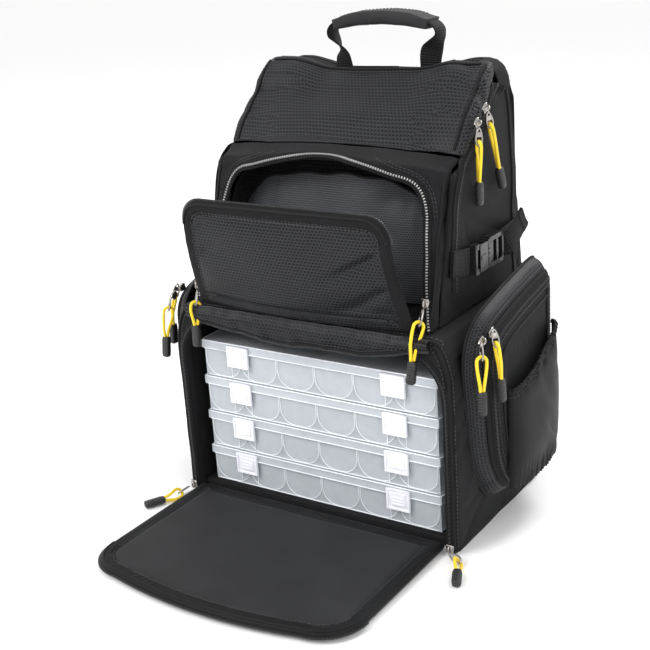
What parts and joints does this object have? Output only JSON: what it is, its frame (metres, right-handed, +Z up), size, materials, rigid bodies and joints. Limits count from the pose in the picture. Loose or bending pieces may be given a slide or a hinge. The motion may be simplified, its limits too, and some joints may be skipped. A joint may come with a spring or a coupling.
{
  "type": "tackle backpack",
  "caption": "Fishing tackle backpack with a drop-down front door over stacked utility boxes, an arched flap pocket, side pockets and padded straps.",
  "frame": {"origin": "on the floor under the middle of the base panel", "axes": "+Z up, +Y towards the padded back, -Y towards the box bay, +X towards the viewer's right from the front"},
  "size_m": [0.4188, 0.4493, 0.4807],
  "materials": {
    "woven": "black plain-weave polyester",
    "ripstop": "coated ripstop with a slight sheen",
    "lining": "smooth grey lining with black binding",
    "mesh": "coarse black mesh",
    "webbing": "ribbed black webbing",
    "board": "fabric-covered foam board",
    "plastic": "moulded black acetal",
    "frosted": "frosted translucent polypropylene",
    "milky": "milky translucent polypropylene",
    "pull": "yellow cord with a black rubber grip and a nickel tab"
  },
  "bodies": {
    "bag": {"lower_shell": "woven", "base_panel": "woven", "divider_shelf": "board", "back_panel": "woven", "front_panel": "woven", "pocket_lining": "mesh", "organiser_pouch": "ripstop", "rear_shell": "woven", "side_pocket_left": "ripstop", "strap_front_left": "webbing", "buckle_socket_left": "plastic", "shoulder_strap_left": "woven", "ladder_lock_left": "plastic", "lower_webbing_left": "webbing", "side_pocket_right": "ripstop", "strap_front_right": "webbing", "buckle_socket_right": "plastic", "shoulder_strap_right": "woven", "ladder_lock_right": "plastic", "lower_webbing_right": "webbing"},
    "door": {"tackle_door": "lining"},
    "pocket_fold": {"pocket_fold": "ripstop"},
    "pocket_flap": {"pocket_flap": "ripstop"},
    "top_panel": {"top_panel": "ripstop"},
    "handle": {"handle_webbing": "webbing", "handle_grip": "woven"},
    "box_1": {"box_1_tray": "frosted", "box_1_lid": "frosted"},
    "box_1_latch_left": {"box_1_latch_left": "milky"},
    "box_1_latch_right": {"box_1_latch_right": "milky"},
    "box_2": {"box_2_tray": "frosted", "box_2_lid": "frosted"},
    "box_2_latch_left": {"box_2_latch_left": "milky"},
    "box_2_latch_right": {"box_2_latch_right": "milky"},
    "box_3": {"box_3_tray": "frosted", "box_3_lid": "frosted"},
    "box_3_latch_left": {"box_3_latch_left": "milky"},
    "box_3_latch_right": {"box_3_latch_right": "milky"},
    "box_4": {"box_4_tray": "frosted", "box_4_lid": "frosted"},
    "box_4_latch_left": {"box_4_latch_left": "milky"},
    "box_4_latch_right": {"box_4_latch_right": "milky"},
    "side_cover_left": {"side_cover_left": "woven", "bottle_pocket_left": "woven"},
    "buckle_left": {"buckle_plug_left": "plastic", "strap_adjuster_left": "webbing"},
    "side_cover_right": {"side_cover_right": "woven", "bottle_pocket_right": "woven"},
    "buckle_right": {"buckle_plug_right": "plastic", "strap_adjuster_right": "webbing"},
    "pull_main_1": {"pull_main_1": "pull"},
    "pull_main_2": {"pull_main_2": "pull"},
    "pull_pocket_left": {"pull_pocket_left": "pull"},
    "pull_pocket_right": {"pull_pocket_right": "pull"},
    "pull_side_left_1": {"pull_side_left_1": "pull"},
    "pull_side_left_2": {"pull_side_left_2": "pull"},
    "pull_side_right_1": {"pull_side_right_1": "pull"},
    "pull_side_right_2": {"pull_side_right_2": "pull"},
    "pull_door_left": {"pull_door_left": "pull"},
    "pull_door_right": {"pull_door_right": "pull"}
  },
  "joints": [
    {"name": "door_hinge", "type": "hinge", "parent": "bag", "child": "door", "pos_m": [0, -0.108, 0.006], "axis": [1, 0, 0], "range_deg": [-90, 0]},
    {"name": "fold_hinge", "type": "hinge", "parent": "bag", "child": "pocket_fold", "pos_m": [0, -0.1095, 0.217], "axis": [1, 0, 0], "range_deg": [-92, 0]},
    {"name": "flap_hinge", "type": "hinge", "parent": "pocket_fold", "child": "pocket_flap", "pos_m": [0, -0.134, 0.2235], "axis": [1, 0, 0], "range_deg": [0, 67.3]},
    {"name": "top_panel_hinge", "type": "hinge", "parent": "bag", "child": "top_panel", "pos_m": [0, -0.038, 0.3675], "axis": [1, 0, 0], "range_deg": [0, 125]},
    {"name": "handle_swing", "type": "hinge", "parent": "bag", "child": "handle", "pos_m": [0, 0.069, 0.43], "axis": [1, 0, 0], "range_deg": [-60, 60]},
    {"name": "box_1_slide", "type": "slide", "parent": "bag", "child": "box_1", "axis": [0, -1, 0], "range_m": [0, 0.165]},
    {"name": "box_1_latch_left_hinge", "type": "hinge", "parent": "box_1", "child": "box_1_latch_left", "pos_m": [-0.0908, -0.1005, 0.0253], "axis": [1, 0, 0], "range_deg": [0, 75]},
    {"name": "box_1_latch_right_hinge", "type": "hinge", "parent": "box_1", "child": "box_1_latch_right", "pos_m": [0.0908, -0.1005, 0.0253], "axis": [1, 0, 0], "range_deg": [0, 75]},
    {"name": "box_2_slide", "type": "slide", "parent": "bag", "child": "box_2", "axis": [0, -1, 0], "range_m": [0, 0.165]},
    {"name": "box_2_latch_left_hinge", "type": "hinge", "parent": "box_2", "child": "box_2_latch_left", "pos_m": [-0.0908, -0.1005, 0.065], "axis": [1, 0, 0], "range_deg": [0, 75]},
    {"name": "box_2_latch_right_hinge", "type": "hinge", "parent": "box_2", "child": "box_2_latch_right", "pos_m": [0.0908, -0.1005, 0.065], "axis": [1, 0, 0], "range_deg": [0, 75]},
    {"name": "box_3_slide", "type": "slide", "parent": "bag", "child": "box_3", "axis": [0, -1, 0], "range_m": [0, 0.165]},
    {"name": "box_3_latch_left_hinge", "type": "hinge", "parent": "box_3", "child": "box_3_latch_left", "pos_m": [-0.0908, -0.1005, 0.1047], "axis": [1, 0, 0], "range_deg": [0, 75]},
    {"name": "box_3_latch_right_hinge", "type": "hinge", "parent": "box_3", "child": "box_3_latch_right", "pos_m": [0.0908, -0.1005, 0.1047], "axis": [1, 0, 0], "range_deg": [0, 75]},
    {"name": "box_4_slide", "type": "slide", "parent": "bag", "child": "box_4", "axis": [0, -1, 0], "range_m": [0, 0.165]},
    {"name": "box_4_latch_left_hinge", "type": "hinge", "parent": "box_4", "child": "box_4_latch_left", "pos_m": [-0.0908, -0.1005, 0.1444], "axis": [1, 0, 0], "range_deg": [0, 75]},
    {"name": "box_4_latch_right_hinge", "type": "hinge", "parent": "box_4", "child": "box_4_latch_right", "pos_m": [0.0908, -0.1005, 0.1444], "axis": [1, 0, 0], "range_deg": [0, 75]},
    {"name": "side_cover_left_hinge", "type": "hinge", "parent": "bag", "child": "side_cover_left", "pos_m": [-0.1779, 0, 0.04], "axis": [0, -1, 0], "range_deg": [0, 30]},
    {"name": "buckle_release_left", "type": "slide", "parent": "bag", "child": "buckle_left", "axis": [0, 1, 0], "range_m": [0, 0.014]},
    {"name": "side_cover_right_hinge", "type": "hinge", "parent": "bag", "child": "side_cover_right", "pos_m": [0.1779, 0, 0.04], "axis": [0, 1, 0], "range_deg": [0, 30]},
    {"name": "buckle_release_right", "type": "slide", "parent": "bag", "child": "buckle_right", "axis": [0, 1, 0], "range_m": [0, 0.014]},
    {"name": "pull_main_1_swing", "type": "hinge", "parent": "bag", "child": "pull_main_1", "pos_m": [0.1412, -0.011, 0.3835], "axis": [0, -1, 0], "range_deg": [0, 100]},
    {"name": "pull_main_2_swing", "type": "hinge", "parent": "bag", "child": "pull_main_2", "pos_m": [0.1412, 0.008, 0.3945], "axis": [0, -1, 0], "range_deg": [0, 100]},
    {"name": "pull_pocket_left_swing", "type": "hinge", "parent": "bag", "child": "pull_pocket_left", "pos_m": [-0.1285, -0.10756, 0.226], "axis": [-1, 0, 0], "range_deg": [0, 95]},
    {"name": "pull_pocket_right_swing", "type": "hinge", "parent": "bag", "child": "pull_pocket_right", "pos_m": [0.1285, -0.10396, 0.238], "axis": [-1, 0, 0], "range_deg": [0, 95]},
    {"name": "pull_side_left_1_swing", "type": "hinge", "parent": "bag", "child": "pull_side_left_1", "pos_m": [-0.179, -0.0915, 0.2085], "axis": [-1, 0, 0], "range_deg": [0, 90]},
    {"name": "pull_side_left_2_swing", "type": "hinge", "parent": "side_cover_left", "child": "pull_side_left_2", "pos_m": [-0.183, -0.0745, 0.2165], "axis": [0, 1, 0], "range_deg": [0, 100]},
    {"name": "pull_side_right_1_swing", "type": "hinge", "parent": "bag", "child": "pull_side_right_1", "pos_m": [0.179, -0.0915, 0.2085], "axis": [-1, 0, 0], "range_deg": [0, 90]},
    {"name": "pull_side_right_2_swing", "type": "hinge", "parent": "side_cover_right", "child": "pull_side_right_2", "pos_m": [0.183, -0.0745, 0.2165], "axis": [0, -1, 0], "range_deg": [0, 100]},
    {"name": "pull_door_left_swing", "type": "hinge", "parent": "bag", "child": "pull_door_left", "pos_m": [-0.156, -0.1215, 0.006], "axis": [-0.9514, 0.3081, 0], "range_deg": [0, 85]},
    {"name": "pull_door_right_swing", "type": "hinge", "parent": "bag", "child": "pull_door_right", "pos_m": [0.156, -0.1215, 0.006], "axis": [-0.826, -0.5636, 0], "range_deg": [0, 85]}
  ],
  "couplings": [
    {"joint": "flap_hinge", "follows": "fold_hinge", "ratio": -0.7315}
  ]
}
